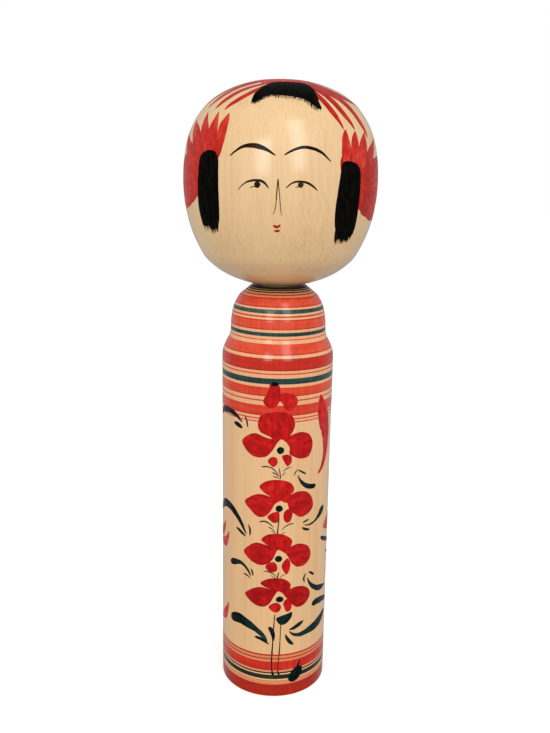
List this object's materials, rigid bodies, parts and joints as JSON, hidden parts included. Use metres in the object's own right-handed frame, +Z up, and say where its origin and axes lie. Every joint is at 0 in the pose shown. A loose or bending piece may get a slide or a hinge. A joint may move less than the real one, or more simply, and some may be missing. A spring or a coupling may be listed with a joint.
{
  "type": "kokeshi doll",
  "caption": "Turned wooden kokeshi doll: slender banded cylinder body with a rounded shoulder, and a large round painted head that turns on a plug in the neck.",
  "frame": {"origin": "centre of the foot, on the surface that the doll stands on", "axes": "+Z up along the turning axis; the face looks along -Y; +X is to the viewer's right as they face the doll"},
  "size_m": [0.0914, 0.0914, 0.303],
  "materials": {
    "body_wood": "waxed bare wood, aged, fine vertical grain",
    "head_wood": "waxed bare wood, paler than the body",
    "red_dye": "translucent red dye on waxed wood, brush and lathe streaks",
    "green_dye": "dark green dye on waxed wood, bluish where thin",
    "black_ink": "black ink brushed on waxed wood, hair strokes at its ends"
  },
  "bodies": {
    "body": {"body": "body_wood"},
    "head": {"head": "head_wood"}
  },
  "joints": [
    {"name": "head_turn", "type": "hinge", "parent": "body", "child": "head", "pos_m": [0, 0, 0.209], "axis": [0, 0, 1], "continuous": true}
  ]
}
